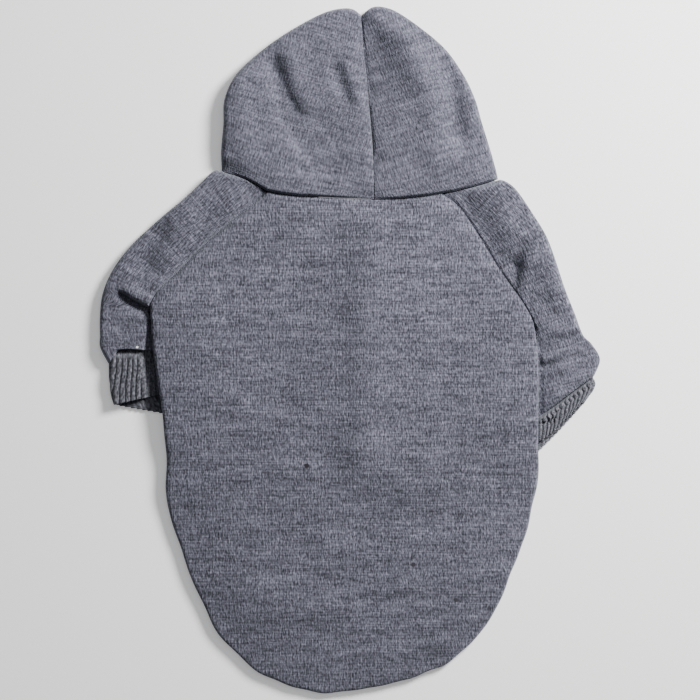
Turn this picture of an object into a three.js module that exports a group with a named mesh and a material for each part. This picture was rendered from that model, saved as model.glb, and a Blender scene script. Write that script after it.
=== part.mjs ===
// A small dog's hooded sweatshirt in grey marl fleece, laid flat with its back up.
// Eight cut pieces: back, belly, two raglan sleeves, two ribbed cuffs and two hood halves.
// Millimetres: +X across the back, +Y towards the hood, +Z up from the surface that it lies on.
import * as THREE from "three";

// Driving sizes
const cloth = 1.8; // thickness of the fleece
const rib = 1.3; // thickness of the cuffs' knit in its grooves
const ribHeight = 0.45; // how far a rib stands out of its groove
const ribsPerCuff = 32;
const seam = 0.3; // space between two pieces where they are sewn
const airGap = 0.3; // space between two layers that lie on each other
const twoLayers = 2 * cloth + airGap; // a flattened sleeve
const plateau = 6.2; // height of the middle of the back
const sideRollHeight = 6.8; // height of the rolled sides and hem
const raisedRollHeight = 9.0; // height of the sides where they lie on the sleeves
const rollDepth = 1.1; // how far a rolled edge reaches in from the outline, in radii of its roll
const lap = 3.5; // how far the back's sides lie over the belly's edges
const sideWrap = 26; // how far the back reaches round under each side
const hemWrap = 12; // width of the turned hem
const sleeveHeight = 6.6;
const hoodHeight = 7.5;
const neckSeamHeight = 4.6;
const pinch = 1.0; // how deep a seam sits in the cloth around it
const bellyHemY = -71; // the belly's hem at its corners
const bellyHemDip = 9;
const middle = new THREE.Vector2(0, -10); // the sections of the back run out from here

// A short table: one object for each row, with the named columns.
function table(columns, rows) {
  const names = columns.split(" ");
  return rows.map((row) => Object.fromEntries(names.map((name, i) => [name, row[i]])));
}

// Where the hood is sewn on over the back and the shoulders, from left to right.
const neckLine = table("x y", [
  [-67, 90.5], [-58, 87.9], [-52, 85.6], [-46.5, 82.6], [-41.5, 79.7], [-34, 78.2], [-25, 77.2],
  [-6.5, 76.4], [12, 75.6], [24, 75.8], [38.5, 77.3], [51.5, 79.4], [61.5, 81.9], [75, 85.8],
]);

// The same seam round the throat, on the underside.
const throatLine = table("x y", [
  [-67, 90.4], [-52, 78], [-37.7, 66.2], [-18, 61], [-1, 59.5], [20, 61],
  [39.2, 66.2], [57, 75.7], [75.6, 85.6],
]);

// The back's outline from its right neck corner, round the hem and up to its left neck corner.
const backOutline = table("x y", [
  [46, 78.7], [54, 72.7], [64.5, 57.7], [74.9, 40.5], [86.4, 23.9], [91.2, 14.5],
  [93.5, 4], [94.2, -15], [94.1, -45], [94.7, -58], [93.6, -68], [91, -80],
  [86.3, -97], [77.5, -120.5], [66.5, -140], [48.5, -156.8], [25, -165.8], [3, -170.4],
  [-14, -171.9], [-30, -168.7], [-45, -161.8], [-58.5, -150.5], [-67.5, -139.5], [-74.5, -126.5],
  [-81.5, -108.5], [-87.5, -90.8], [-91.3, -78.5], [-92.2, -68], [-92.5, -49], [-93.8, -32],
  [-96.5, -14], [-98.6, 0.5], [-99.6, 14], [-99.7, 22], [-95.6, 29.8], [-87, 38.3],
  [-73.5, 52.3], [-60.5, 63.8], [-50, 72.6], [-41.2, 79.4],
]);

// Each sleeve in rows from the neck to the cuff: its outer fold, and the inner ends of its upper
// and lower layers.
const leftSleeveRows = table("foldX foldY upperX upperY lowerX lowerY", [
  [-67.0, 90.4, -42.2, 78.6, -37.7, 66.2],
  [-75.0, 83.2, -51.2, 72.0, -42.7, 57.8],
  [-86.0, 73.8, -61.2, 63.6, -48.8, 48.2],
  [-97.5, 64.2, -70.2, 55.8, -55.0, 38.6],
  [-107.5, 55.0, -79.4, 46.6, -61.0, 29.6],
  [-116.0, 45.0, -88.2, 37.6, -66.8, 20.9],
  [-121.5, 35.5, -96.2, 29.9, -71.8, 13.6],
  [-124.6, 26.0, -100.5, 23.4, -77.0, 8.0],
  [-125.4, 17.0, -100.2, 16.6, -80.0, 5.0],
  [-125.4, 8.0, -90.0, 8.5, -81.5, 2.2],
  [-125.0, -0.4, -84.0, -0.8, -83.0, -1.0],
]);
const rightSleeveRows = table("foldX foldY upperX upperY lowerX lowerY", [
  [75.6, 85.6, 47.0, 77.9, 39.2, 66.2],
  [83.0, 80.6, 54.6, 72.6, 44.4, 57.8],
  [92.0, 68.0, 61.0, 63.6, 49.6, 48.2],
  [98.4, 57.0, 68.0, 52.4, 54.8, 38.6],
  [103.0, 45.0, 75.4, 40.3, 59.6, 29.6],
  [107.6, 31.0, 81.4, 31.6, 64.4, 20.9],
  [112.6, 18.5, 86.9, 23.8, 68.4, 12.4],
  [116.6, 8.0, 91.7, 14.4, 71.6, 4.0],
  [121.0, 3.4, 93.6, 6.0, 78.0, -8.0],
  [125.3, -4.0, 90.0, -12.0, 84.6, -22.0],
  [122.6, -12.6, 90.0, -37.4, 90.0, -37.8],
]);

// Each cuff in rows from the sleeve to its open end.
const leftCuffRows = table("foldX foldY upperX upperY lowerX lowerY", [
  [-122.4, -1.2, -84.4, -1.5, -83.4, -1.7],
  [-119.4, -9.5, -84.0, -7.4, -83.0, -10.8],
  [-119.2, -18.0, -83.6, -13.2, -82.6, -21.8],
  [-117.6, -27.2, -83.2, -19.2, -82.2, -33.6],
]);
const rightCuffRows = table("foldX foldY upperX upperY lowerX lowerY", [
  [122.2, -13.8, 90.55, -38.2, 90.55, -38.6],
  [122.4, -17.0, 90.3, -41.6, 90.8, -43.2],
  [121.0, -20.0, 90.2, -46.0, 91.8, -48.2],
  [118.0, -24.0, 90.0, -49.6, 92.4, -52.4],
]);

// The hood's centre seam over the back of the head, from the neck to the notch at the top.
const hoodSeam = table("x y", [
  [12, 75.7], [11.8, 91], [11, 106], [9.6, 122],
  [8.2, 140], [6.4, 157], [5.8, 163.6],
]);
// The folded outline of each half, in rows from the neck to the notch, with the face edge under it.
const leftHoodRows = table("foldX foldY rimX rimY", [
  [-64.4, 90.15, -1.4, 60.2],
  [-64.6, 101, -12.5, 76],
  [-63.4, 113.5, -20, 92],
  [-62.9, 125.5, -24, 107],
  [-57.4, 137.4, -24.5, 121],
  [-45.5, 149.2, -21, 131.5],
  [-28, 161.3, -15.5, 138.6],
  [-10, 170.2, -10, 142.2],
  [0.5, 171.2, -6.5, 143.2],
  [5.5, 168.2, -3.1, 143.4],
]);
const rightHoodRows = table("foldX foldY rimX rimY", [
  [74.4, 86.05, -1.0, 60.2],
  [70.6, 100, 8.5, 76],
  [66.2, 114, 14.5, 92],
  [62.6, 126.2, 17, 107],
  [57, 138.2, 16.5, 121],
  [48.5, 150.2, 13.5, 131.5],
  [35.5, 161.4, 8.8, 138.6],
  [20.5, 171, 4.2, 142.2],
  [11.5, 172, 0.4, 143.2],
  [5.9, 168.2, -2.7, 143.4],
]);

// The largest folds: a line of three points on the cloth, its half-width, and its height, below zero
// for a trough.
const foldColumns = "x1 y1 x2 y2 x3 y3 halfWidth height";
const backFolds = table(foldColumns, [
  [9, 66, 6, 10, 3, -48, 18, 1.0], // the cloth's rise down the middle
  [8, -84, 20, -82, 32, -80, 13, -1.0],
  [-50, -134, -29, -136, -8, -138, 14, 0.9],
  [-48, 0, -37, -17, -26, -34, 13, -0.6],
  [-70, 20, -73, -5, -76, -30, 10, 0.5],
  [55, -110, 62, -95, 70, -80, 12, 0.5],
]);
const hoodFolds = table(foldColumns, [
  [-4, 92, -4, 110, -4, 128, 17, -1.6], // the top sinks over the face opening
  [-37, 142, -33, 129.5, -29, 117, 4.5, -2.2],
  [-29, 117, -21.5, 107, -14, 97, 5, -1.2],
  [-28, 144, -20, 121, -9, 104, 5.5, 1.2],
  [-8, 141, -5.3, 133.5, -2.5, 126, 3.5, -1.7],
  [-1, 142, 1.5, 134.5, 4, 127, 3.5, 0.9],
  [11, 158, 12, 145, 13, 132, 5, -1.1],
  [12, 168, 14.5, 164, 17, 160, 5, 0.9],
  [28, 165, 31, 162, 34, 159, 4.5, -1.5],
  [27, 154, 35, 138, 38, 106, 7, 1.6],
  [46, 141, 50, 122, 52, 106, 5, -2.6],
  [57, 126, 59, 117, 61, 108, 4, 0.8],
  [-52, 134, -52, 121, -52, 108, 8, 0.9],
  [44, 96, 52, 97, 60, 98, 5, 0.6],
]);
const leftSleeveFolds = table(foldColumns, [
  [-117, 30, -108, 25.5, -99.5, 20.5, 2.6, -3.4], // the crease at the underarm
  [-96, 58, -94.5, 49, -93, 40, 5, -2.1],
  [-84, 63, -82.7, 55.5, -81.5, 48, 5, 1.3],
  [-112, 47, -108, 44.5, -104, 42, 6, -0.6],
  [-104, 37, -99.5, 35, -95, 33, 4.5, 1.0],
]);
const rightSleeveFolds = table(foldColumns, [
  [86, 56, 83.5, 45, 83, 32, 3.2, -2.4],
  [92, 56, 89.5, 45, 89, 34, 4, 1.4],
  [60, 78, 67, 67.5, 74, 57, 6, 1.0],
  [98, -6, 107, -2, 116, 2, 2.5, 0.6],
  [106, -6, 109, -7.5, 112, -9, 6, 0.7],
  [96, 24, 100, 19, 104, 14, 5, -0.9],
]);

const smooth = (from, to, x) => THREE.MathUtils.smoothstep((x - from) / (to - from), 0, 1);
const flatPoint = (x, y) => new THREE.Vector2(x, y);

function curveThrough(points) {
  const flat = points.map((p) => new THREE.Vector3(p.x, p.y, 0));
  return new THREE.CatmullRomCurve3(flat, false, "centripetal");
}

// Points of a curve at equal steps along it.
function spacedPoints(points, steps) {
  return curveThrough(points).getSpacedPoints(steps).map((p) => flatPoint(p.x, p.y));
}

// One column of a table, such as fold, at steps from its first row to its last.
function columnPoints(rows, name, steps) {
  const curve = curveThrough(rows.map((row) => ({ x: row[name + "X"], y: row[name + "Y"] })));
  return Array.from({ length: steps + 1 }, (_, i) => {
    const p = curve.getPoint(i / steps);
    return flatPoint(p.x, p.y);
  });
}

// How far a point is from a straight stretch of a fold.
function awayFromStretch(x, y, x1, y1, x2, y2) {
  const alongX = x2 - x1;
  const alongY = y2 - y1;
  const share = ((x - x1) * alongX + (y - y1) * alongY) / (alongX ** 2 + alongY ** 2);
  const nearest = THREE.MathUtils.clamp(share, 0, 1);
  return Math.hypot(x - x1 - nearest * alongX, y - y1 - nearest * alongY);
}

// How much a list of folds lifts or lowers the cloth at a point.
function foldsAt(folds, x, y) {
  return folds.reduce((sum, { x1, y1, x2, y2, x3, y3, halfWidth, height }) => {
    const first = awayFromStretch(x, y, x1, y1, x2, y2);
    const second = awayFromStretch(x, y, x2, y2, x3, y3);
    return sum + height * Math.exp(-((Math.min(first, second) / halfWidth) ** 2));
  }, 0);
}

// The height of the line y = f(x) that a table of x and y draws.
function lineHeight(line, x) {
  const end = line.findIndex((p) => p.x >= x);
  if (end <= 0) return line[end < 0 ? line.length - 1 : 0].y;
  const share = (x - line[end - 1].x) / (line[end].x - line[end - 1].x);
  return THREE.MathUtils.lerp(line[end - 1].y, line[end].y, share);
}

// A path's points at equal steps of length times density, so that a tight roll gets more of them.
function spread(path, steps) {
  const along = [0];
  for (let i = 1; i < path.length; i++) {
    along.push(along[i - 1] + path[i].point.distanceTo(path[i - 1].point) * path[i].density);
  }
  const total = along[along.length - 1];
  let piece = 1;
  return Array.from({ length: steps + 1 }, (_, i) => {
    const wanted = (total * i) / steps;
    while (piece < path.length - 1 && along[piece] < wanted) piece++;
    const share = (wanted - along[piece - 1]) / Math.max(along[piece] - along[piece - 1], 1e-9);
    return path[piece - 1].point.clone().lerp(path[piece].point, THREE.MathUtils.clamp(share, 0, 1));
  });
}

const rollSteps = 12;
const marginWidth = 5; // the strip before a roll, which is resampled with it
const density = { middle: 0.4, roll: 3, under: 1.2 };

// The section of a folded cloth: over the top from start, round the fold, and under to end.
// height gives the upper face's height at a point, and under the lower face's at a distance from the fold.
// The top and the edge are apart, so that a rolled section still meets a flat one column by column.
function foldedSection({ start, fold, end, height, under, curl = Math.PI, startDensity = 1 }) {
  const outward = fold.clone().sub(start);
  const length = outward.length();
  outward.normalize();
  const radius = (height(fold.x, fold.y) - under(0)) / 2;
  const reach = Math.min(rollDepth * radius, 0.5 * length);
  const apex = fold.clone().addScaledVector(outward, -reach * Math.sin(Math.min(curl, Math.PI / 2)));
  const toMargin = start.distanceTo(apex) - Math.min(marginWidth, 0.4 * length);
  const onTop = (distance, weight) => {
    const p = start.clone().addScaledVector(outward, distance);
    const point = new THREE.Vector3(p.x, p.y, height(p.x, p.y));
    return { point, density: weight, along: distance / length };
  };
  const top = Array.from({ length: 41 }, (_, i) =>
    onTop((toMargin * i) / 40, THREE.MathUtils.lerp(startDensity, 1.3, (i / 40) ** 2)),
  );
  const edge = [0, 0.2, 0.4, 0.6, 0.8, 1].map((share) =>
    onTop(THREE.MathUtils.lerp(toMargin, start.distanceTo(apex), share), 1.3),
  );
  if (curl < 0.02) return { top, edge };
  const topHeight = height(apex.x, apex.y);
  const bottom = topHeight - 2 * radius;
  const inward = end.clone().sub(fold).normalize();
  for (let i = 1; i <= rollSteps; i++) {
    const turn = (curl * i) / rollSteps;
    const p =
      turn < Math.PI / 2
        ? apex.clone().addScaledVector(outward, reach * Math.sin(turn))
        : fold.clone().addScaledVector(inward, rollDepth * radius * (1 - Math.sin(turn)));
    const settle = (under(0) - bottom) * smooth(0.3, 1, i / rollSteps);
    const z = topHeight - radius * (1 - Math.cos(turn)) + settle;
    edge.push({ point: new THREE.Vector3(p.x, p.y, z), density: density.roll });
  }
  if (curl < Math.PI - 0.02) return { top, edge };
  const underStart = fold.clone().addScaledVector(inward, rollDepth * radius);
  for (let i = 1; i <= 24; i++) {
    const p = underStart.clone().lerp(end, i / 24);
    const point = new THREE.Vector3(p.x, p.y, under(p.distanceTo(fold)));
    edge.push({ point, density: density.under, below: i / 24 });
  }
  return { top, edge };
}

function columnsOf({ top, edge }, topCount, edgeCount) {
  return [...spread(top, topCount), ...spread(edge, edgeCount).slice(1)];
}

// Unit normals of a grid of points, turned so that the first row's upper face looks up.
function gridNormals(grid, { loop = false, ring = false, pole = false }) {
  const rows = grid.length;
  const columns = grid[0].length;
  const row = (i) => (loop ? (i + rows) % rows : THREE.MathUtils.clamp(i, 0, rows - 1));
  const column = (j) => (ring ? (j + columns) % columns : THREE.MathUtils.clamp(j, 0, columns - 1));
  const normals = grid.map((line, i) =>
    line.map((_, j) => {
      if (pole && j === 0) return new THREE.Vector3(0, 0, 1);
      const down = grid[row(i + 1)][j].clone().sub(grid[row(i - 1)][j]);
      const across = grid[i][column(j + 1)].clone().sub(grid[i][column(j - 1)]);
      return down.cross(across).normalize();
    }),
  );
  const sign = Math.sign(normals[Math.floor(rows / 2)][1].z);
  normals.forEach((line, i) => line.forEach((n, j) => !(pole && j === 0) && n.multiplyScalar(sign)));
  return normals;
}

// A closed wall: the grid's points outside, and the same points moved in by the thickness inside.
// loop closes the rows on themselves, ring closes each row, and pole makes the first column one point.
function wall(name, material, grid, options = {}) {
  const { loop = false, ring = false, pole = false, thickness = cloth, raise = () => 0 } = options;
  const normals = gridNormals(grid, options);
  const rows = grid.length;
  const columns = grid[0].length;
  const positions = [];
  const addSide = (place) => {
    const first = positions.length / 3;
    grid.forEach((line, i) =>
      line.forEach((p, j) => {
        if (pole && j === 0 && i > 0) return;
        positions.push(...place(p, normals[i][j], i, j).toArray());
      }),
    );
    return (i, j) => {
      const r = i % rows;
      const c = j % columns;
      if (!pole) return first + r * columns + c;
      return c === 0 ? first : first + (r === 0 ? 0 : columns + (r - 1) * (columns - 1) - 1) + c;
    };
  };
  const outer = addSide((p, n, i, j) => p.clone().addScaledVector(n, raise(i, j, n)));
  const inner = addSide((p, n) => p.clone().addScaledVector(n, -thickness));
  const faces = [];
  const addTriangle = (a, b, c) => a !== b && b !== c && c !== a && faces.push(a, b, c);
  const addQuad = (a, b, c, d) => {
    addTriangle(a, b, c);
    addTriangle(a, c, d);
  };
  const lastRow = loop ? rows : rows - 1;
  const lastColumn = ring ? columns : columns - 1;
  for (let i = 0; i < lastRow; i++) {
    for (let j = 0; j < lastColumn; j++) {
      addQuad(outer(i, j), outer(i + 1, j), outer(i + 1, j + 1), outer(i, j + 1));
      addQuad(inner(i, j), inner(i, j + 1), inner(i + 1, j + 1), inner(i + 1, j));
    }
    if (!ring) {
      const end = lastColumn;
      addQuad(outer(i, end), outer(i + 1, end), inner(i + 1, end), inner(i, end));
      if (!pole) addQuad(outer(i + 1, 0), outer(i, 0), inner(i, 0), inner(i + 1, 0));
    }
  }
  for (let j = 0; !loop && j < lastColumn; j++) {
    addQuad(outer(0, j), outer(0, j + 1), inner(0, j + 1), inner(0, j));
    addQuad(outer(lastRow, j + 1), outer(lastRow, j), inner(lastRow, j), inner(lastRow, j + 1));
  }
  const corner = (k) => new THREE.Vector3().fromArray(positions, 3 * faces[k]);
  let volume = 0;
  for (let k = 0; k < faces.length; k += 3) volume += corner(k).dot(corner(k + 1).cross(corner(k + 2)));
  if (volume < 0) {
    for (let k = 0; k < faces.length; k += 3) [faces[k + 1], faces[k + 2]] = [faces[k + 2], faces[k + 1]];
  }
  const geometry = new THREE.BufferGeometry();
  geometry.setAttribute("position", new THREE.Float32BufferAttribute(positions, 3));
  geometry.setIndex(faces);
  geometry.computeVertexNormals();
  const mesh = new THREE.Mesh(geometry, material);
  mesh.name = name;
  return mesh;
}

const fleece = new THREE.MeshStandardMaterial({ color: 0x717380, roughness: 0.95, metalness: 0 });
const ribbing = new THREE.MeshStandardMaterial({ color: 0x65666f, roughness: 0.95, metalness: 0 });

// Back panel: from its middle out to the raglan and neck seams, or round the sides and the hem
// to the underside.
// Where each side rests on a sleeve, it is carried higher.
const sides = {
  left: { underarmY: 22, tuckedTo: -38, tuckDepth: 19 },
  right: { underarmY: 13, tuckedTo: -54, tuckDepth: 10 },
};
const sideOf = (p) => (p.x < 0 ? sides.left : sides.right);
const isNeck = (p) => p.y > 74 && p.x > -43 && p.x < 48;
function curlAt(p) {
  if (isNeck(p)) return 0;
  return Math.PI * smooth(sideOf(p).underarmY + 2, sideOf(p).underarmY - 4, p.y);
}
const onSleeve = (p) =>
  smooth(sideOf(p).tuckedTo - 16, sideOf(p).tuckedTo, p.y) *
  (1 - smooth(sideOf(p).underarmY + 2, sideOf(p).underarmY + 40, p.y));
const atHem = (p) => smooth(bellyHemY - 22, bellyHemY - 32, p.y);
const wrapAt = (p) => {
  const started = smooth(sideOf(p).underarmY - 1, sideOf(p).underarmY - 9, p.y);
  return Math.max(started * THREE.MathUtils.lerp(sideWrap, hemWrap, atHem(p)), 4);
};
// Height of the back's edge: its rolled top, or its seam.
function backEdgeHeight(p) {
  if (isNeck(p)) return neckSeamHeight + pinch;
  const raised = onSleeve(p);
  const shoulder = smooth(sideOf(p).underarmY, 78, p.y);
  const side = THREE.MathUtils.lerp(sideRollHeight, raisedRollHeight, raised);
  return THREE.MathUtils.lerp(side, neckSeamHeight + pinch, shoulder);
}
const seamShare = (p) => (isNeck(p) ? 1 : smooth(sideOf(p).underarmY - 4, sideOf(p).underarmY + 16, p.y));

// Height of the wrap's lower face: over a tucked sleeve, or flat, and at its end over the belly's edge.
function backUnder(p) {
  const carried = smooth(sideOf(p).tuckedTo - 16, sideOf(p).tuckedTo, p.y) * (p.y < 60 ? 1 : 0);
  const wrap = wrapAt(p);
  const overBelly = (cloth + airGap) * (1 - atHem(p));
  const rise = { from: Math.max(wrap - 4 * lap, 6), to: Math.max(wrap - 1.8 * lap, 9) };
  return (distance) => {
    const onTuck = 1 - smooth(sideOf(p).tuckDepth, sideWrap - 1, distance);
    const level = (twoLayers + airGap) * carried * onTuck;
    return Math.max(level, overBelly * smooth(rise.from, rise.to, distance));
  };
}

const backSideSteps = 62;
const backNeckSteps = 10;
const neckCorner = { left: flatPoint(-41.2, 79.4), right: flatPoint(46, 78.7) };
const backNeck = neckLine.filter((p) => p.x > neckCorner.left.x && p.x < neckCorner.right.x);
const backEdge = [
  ...spacedPoints(backOutline, backSideSteps).slice(0, -1),
  ...spacedPoints([neckCorner.left, ...backNeck, neckCorner.right], backNeckSteps).slice(0, -1),
].map((p) => p.clone().addScaledVector(middle.clone().sub(p).normalize(), (seam / 2) * seamShare(p)));

function backGrid() {
  return backEdge.map((fold) => {
    const curl = curlAt(fold);
    const sewn = seamShare(fold);
    const inward = middle.clone().sub(fold).normalize();
    const reach = fold.distanceTo(middle);
    const edge = backEdgeHeight(fold);
    const height = (x, y) => {
      const fromEdge = Math.hypot(fold.x - x, fold.y - y);
      const share = 1 - fromEdge / reach;
      const pinched = pinch * sewn * Math.exp(-((fromEdge / 4) ** 2));
      const folded = foldsAt(backFolds, x, y) * smooth(0, 12, fromEdge);
      return THREE.MathUtils.lerp(plateau, edge, smooth(0.3, 0.95, share)) - pinched + folded;
    };
    const end = fold.clone().addScaledVector(inward, wrapAt(fold));
    const under = backUnder(fold);
    const startDensity = density.middle;
    const section = foldedSection({ start: middle, fold, end, height, under, curl, startDensity });
    return columnsOf(section, 9, 9);
  });
}

// Belly panel: flat on the surface, between the raglan seams and its own hem, its sides under the back's.
const isChest = (p) => p.y < sideOf(p).underarmY - 9 && p.y > bellyHemY - 22;
function bellyEdge(sleeveRows, side) {
  const lower = columnPoints(sleeveRows, "lower", sleeveSteps).slice(0, Math.ceil(0.62 * sleeveSteps));
  const raglan = lower.map((p) => flatPoint(p.x - side * 2.6 * seam, p.y));
  const flank = spacedPoints(backOutline, 200)
    .filter((p) => Math.sign(p.x) === side && isChest(p))
    .map((p) => p.clone().addScaledVector(middle.clone().sub(p).normalize(), wrapAt(p) - lap));
  flank.sort((a, b) => b.y - a.y);
  const corner = raglan[raglan.length - 1];
  return [...raglan, ...flank.filter((p) => p.y < corner.y - 4)];
}

function bellyGrid() {
  const left = bellyEdge(leftSleeveRows, -1);
  const right = bellyEdge(rightSleeveRows, 1);
  const xAt = (edge, y) => lineHeight(edge.map((p) => ({ x: -p.y, y: p.x })), -y);
  const rows = 18;
  const columns = 8;
  const topY = 65.6;
  return Array.from({ length: rows + 1 }, (_, i) => {
    const share = i / rows;
    const y = THREE.MathUtils.lerp(topY, bellyHemY, share);
    return Array.from({ length: columns + 1 }, (_, j) => {
      const x = THREE.MathUtils.lerp(xAt(left, y), xAt(right, y), j / columns);
      const across = 1 - ((2 * j) / columns - 1) ** 2;
      const onThroat = lineHeight(throatLine, THREE.MathUtils.clamp(x, -37.7, 39.2));
      const throat = (onThroat - 2.4 * seam - topY) * Math.sqrt(across);
      const dip = -bellyHemDip * across * smooth(0.7, 1, share);
      return new THREE.Vector3(x, y + throat * (1 - smooth(0, 0.3, share)) + dip, cloth);
    });
  });
}

// Sleeves: over the top from the raglan seam, round the outer fold and back underneath to the belly.
// Towards the cuff, the inner part is tucked flat under the side of the back.
const leftTuck = { bodyX: -90, startY: 24, endY: 19, fromX: -102.4, toX: -105.2, folds: leftSleeveFolds };
const rightTuck = { bodyX: 90, startY: 15, endY: 8, fromX: 95.6, toX: 98.8, folds: rightSleeveFolds };
function sleeveTop(tuck, x, y, fromSeam, sewn) {
  const seamHeight = backEdgeHeight(flatPoint(tuck.bodyX, y));
  const open = sleeveHeight + (seamHeight - sleeveHeight) * Math.exp(-((fromSeam / 14) ** 2)) * sewn;
  const pinched = open - pinch * sewn * Math.exp(-((fromSeam / 4) ** 2)) + foldsAt(tuck.folds, x, y);
  const tucked = smooth(tuck.startY, tuck.endY, y) * (1 - smooth(tuck.fromX, tuck.toX, x));
  return Math.max(THREE.MathUtils.lerp(pinched, twoLayers, tucked), twoLayers);
}

// The nearest point of the back's edge, moved out by the seam's space.
function besideBack(p) {
  let best = null;
  backEdge.forEach((from, i) => {
    const to = backEdge[(i + 1) % backEdge.length];
    const chord = to.clone().sub(from);
    const share = THREE.MathUtils.clamp(p.clone().sub(from).dot(chord) / chord.lengthSq(), 0, 1);
    const nearest = from.clone().addScaledVector(chord, share);
    const away = nearest.distanceTo(p);
    if (!best || away < best.away) best = { nearest, away, out: flatPoint(chord.y, -chord.x).normalize() };
  });
  const out = best.out.dot(best.nearest.clone().sub(middle)) < 0 ? best.out.negate() : best.out;
  return best.nearest.addScaledVector(out, 1.5 * seam);
}

const sleeveSteps = 22;
function sleeveGrid(rows, tuck, underarmRow) {
  const fold = columnPoints(rows, "fold", sleeveSteps);
  const upper = columnPoints(rows, "upper", sleeveSteps);
  const lower = columnPoints(rows, "lower", sleeveSteps);
  return fold.map((f, i) => {
    const row = (i / sleeveSteps) * (rows.length - 1);
    const sewn = 1 - smooth(underarmRow - 0.6, underarmRow + 0.4, row);
    const start = row < underarmRow ? besideBack(upper[i]) : upper[i];
    const endDrop = 1.6 * smooth(rows.length - 1.5, rows.length - 1, row);
    const height = (x, y) => {
      const fromSeam = Math.hypot(x - start.x, y - start.y);
      const fromNeck = lineHeight(neckLine, x) - y;
      const full = sleeveTop(tuck, x, y, fromSeam, sewn) - endDrop;
      return Math.max(THREE.MathUtils.lerp(neckSeamHeight, full, smooth(0, 7, fromNeck)), twoLayers);
    };
    const section = foldedSection({ start, fold: f, end: lower[i], height, under: () => 0 });
    // The first sections bend up to the neck seam.
    const follow = (1 - smooth(0, 0.16, i / sleeveSteps)) ** 2;
    [...section.top, ...section.edge].filter((item) => item.along >= 0).forEach(({ point, along }) => {
      const rise = lineHeight(neckLine, point.x) - 2 * seam - THREE.MathUtils.lerp(start.y, f.y, along);
      point.y += rise * follow * smooth(0, 0.1, along);
    });
    return columnsOf(section, 8, 13);
  });
}

// Cuffs: flattened tubes of ribbed knit, with the same tuck under the sides as the sleeves.
// bow is how far the middle of the open end stands out from a straight line.
function cuffGrid({ rows, openHeight, tuckedTo, bow }) {
  const steps = 3;
  const fold = columnPoints(rows, "fold", steps);
  const upper = columnPoints(rows, "upper", steps);
  const lower = columnPoints(rows, "lower", steps);
  const flat = 2 * rib + airGap + 0.1;
  const count = 2 * ribsPerCuff;
  return fold.map((f, i) => {
    const height = (x) => THREE.MathUtils.lerp(flat, openHeight, smooth(tuckedTo.from, tuckedTo.to, x));
    const section = foldedSection({ start: upper[i], fold: f, end: lower[i], height, under: () => 0 });
    const path = [...section.top, ...section.edge].map(({ point }) => ({ point, density: 1 }));
    const inward = lower[i].clone().sub(f).normalize();
    const back = upper[i].clone().sub(lower[i]);
    for (let k = 1; k < 8; k++) {
      const turn = (Math.PI * k) / 8;
      const p = lower[i].clone().addScaledVector(back, k / 8);
      p.addScaledVector(inward, (flat / 2) * Math.sin(turn));
      path.push({ point: new THREE.Vector3(p.x, p.y, (flat / 2) * (1 - Math.cos(turn))), density: 1 });
    }
    path.push({ point: path[0].point.clone(), density: 1 });
    const width = f.distanceTo(lower[i]);
    path.forEach(({ point }) => {
      const across = THREE.MathUtils.clamp(Math.hypot(point.x - f.x, point.y - f.y) / width, 0, 1);
      point.y -= bow * (i / steps) ** 2 * Math.sin(Math.PI * across);
    });
    return spread(path, count).slice(0, -1);
  });
}
const leftCuff = { rows: leftCuffRows, openHeight: 5, tuckedTo: { from: -100.8, to: -103.6 }, bow: 0 };
const rightCuff = { rows: rightCuffRows, openHeight: 5, tuckedTo: { from: 93.5, to: 97.5 }, bow: 1.0 };
const raiseRibs = (i, j, normal) => (j % 2 ? ribHeight * smooth(-0.3, 0.3, normal.z) : 0);

// Hood halves: from the centre seam out over the head, round the folded outline and under to the face edge.
const hoodSteps = 23;
function hoodGrid(rows, side) {
  const centre = curveThrough(hoodSeam);
  const fold = columnPoints(rows, "fold", hoodSteps);
  const rim = columnPoints(rows, "rim", hoodSteps);
  const neck = neckLine.filter((p) => (p.x - 12) * side > -0.1 && Math.abs(p.x) < 62);
  if (side < 0) neck.reverse();
  neck.push({ x: rows[0].foldX, y: rows[0].foldY - 1.5 * seam });
  const bottom = curveThrough(neck);
  return fold.map((f, i) => {
    const share = i / hoodSteps;
    const s = centre.getPoint(share);
    const start = flatPoint(s.x + (side * seam) / 2, s.y + 1.5 * seam);
    const height = (x, y) => {
      const fromNeck = y - lineHeight(neckLine, x);
      const fromCentre = Math.hypot(x - start.x, y - start.y);
      const crown = hoodHeight + foldsAt(hoodFolds, x, y) - pinch * Math.exp(-((fromCentre / 3.5) ** 2));
      const edgeDrop = 0.8 * smooth(22, 4, Math.hypot(x - f.x, y - f.y));
      const raised = THREE.MathUtils.lerp(neckSeamHeight, crown - edgeDrop, smooth(0, 7, fromNeck));
      return Math.max(raised, twoLayers + 0.4);
    };
    const section = foldedSection({ start, fold: f, end: rim[i], height, under: () => 0 });
    // The first sections bend to follow the neck and throat seams.
    const follow = (1 - smooth(0, 0.3, share)) ** 2;
    [...section.top, ...section.edge].forEach(({ point, along, below }) => {
      if (along >= 0) {
        const straight = start.clone().lerp(f, along);
        const onNeck = bottom.getPointAt(along);
        point.x += (onNeck.x + (side * seam * (1 - along)) / 2 - straight.x) * follow;
        point.y += (lineHeight(neckLine, onNeck.x) + 1.5 * seam - straight.y) * follow;
        point.z = height(point.x, point.y);
      } else if (below >= 0) {
        const bend = follow * smooth(0, 0.3, below);
        point.y += (lineHeight(throatLine, point.x) + 1.5 * seam - point.y) * bend;
      }
    });
    return columnsOf(section, 14, 12);
  });
}

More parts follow.
